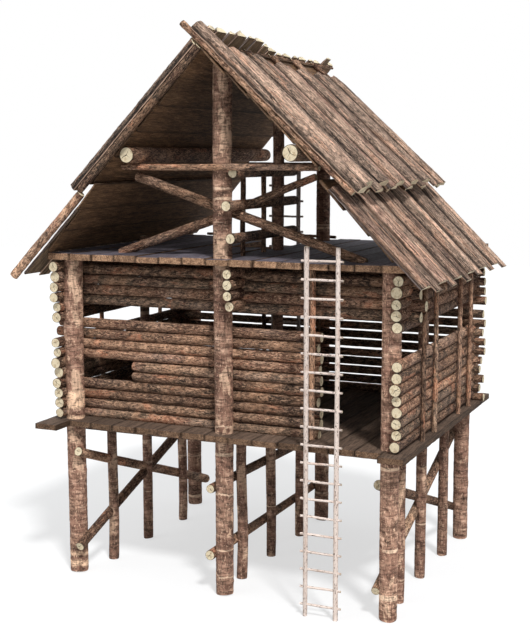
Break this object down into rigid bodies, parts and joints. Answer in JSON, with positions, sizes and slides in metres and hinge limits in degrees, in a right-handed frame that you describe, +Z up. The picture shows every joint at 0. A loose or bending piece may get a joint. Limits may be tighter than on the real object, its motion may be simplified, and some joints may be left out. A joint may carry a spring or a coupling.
{
  "type": "log cabin",
  "caption": "Two-storey cabin of round logs raised on stilts, with a doorway, window gaps, an open attic under a two-tier slab roof, and pole ladders.",
  "frame": {"origin": "on the ground, in the middle of the grid of main posts", "axes": "X runs along the front gable, Y from the front to the back along the ridge, Z up"},
  "size_m": [7.4207, 6.032, 9.5172],
  "materials": {
    "post_bark": "rough bark on round posts, brown with pale and dark patches",
    "log_bark": "rough bark on round logs, cream cut ends with rings and cracks",
    "joist_log": "rough bark, darker in the shade under the floors",
    "floor_board": "weathered rough-sawn boards, grey brown",
    "attic_board": "weathered boards, blue-grey on top with brown sawn ends",
    "roof_board": "dark rough boards on the underside of the roof",
    "roof_slab": "split slabs with the bark outward, brown with pinkish patches and pale ends",
    "ladder_wood": "peeled pale poles with grey-brown specks"
  },
  "bodies": {
    "root": {"front_left_post": "post_bark", "front_centre_post": "post_bark", "front_right_post": "post_bark", "back_left_post": "post_bark", "back_centre_post": "post_bark", "back_right_post": "post_bark", "middle_post": "post_bark", "left_stilts": "post_bark", "centre_stilts": "post_bark", "right_stilts": "post_bark", "left_stilt_braces": "log_bark", "centre_stilt_braces": "log_bark", "right_stilt_braces": "log_bark", "floor_joists": "joist_log", "floor_boards": "floor_board", "front_wall_lower_logs": "log_bark", "front_wall_upper_logs": "log_bark", "back_wall_lower_logs": "log_bark", "back_wall_upper_logs": "log_bark", "left_wall_lower_logs": "log_bark", "left_wall_upper_logs": "log_bark", "right_wall_lower_logs": "log_bark", "right_wall_upper_logs": "log_bark", "centre_beams": "log_bark", "door_pole": "log_bark", "wall_battens": "log_bark", "attic_joists": "joist_log", "attic_boards": "attic_board", "attic_rails": "log_bark", "attic_rail_posts": "log_bark", "tie_beams": "log_bark", "gable_braces": "log_bark", "purlins": "log_bark", "ridge_pole": "log_bark", "rafters": "log_bark", "roof_left_boards": "roof_board", "roof_right_boards": "roof_board", "roof_left_upper_slabs": "roof_slab", "roof_left_lower_slabs": "roof_slab", "roof_right_upper_slabs": "roof_slab", "roof_right_lower_slabs": "roof_slab", "front_ladder_poles": "ladder_wood", "front_ladder_rungs": "ladder_wood", "back_ladder_poles": "ladder_wood", "back_ladder_rungs": "ladder_wood"}
  },
  "joints": []
}
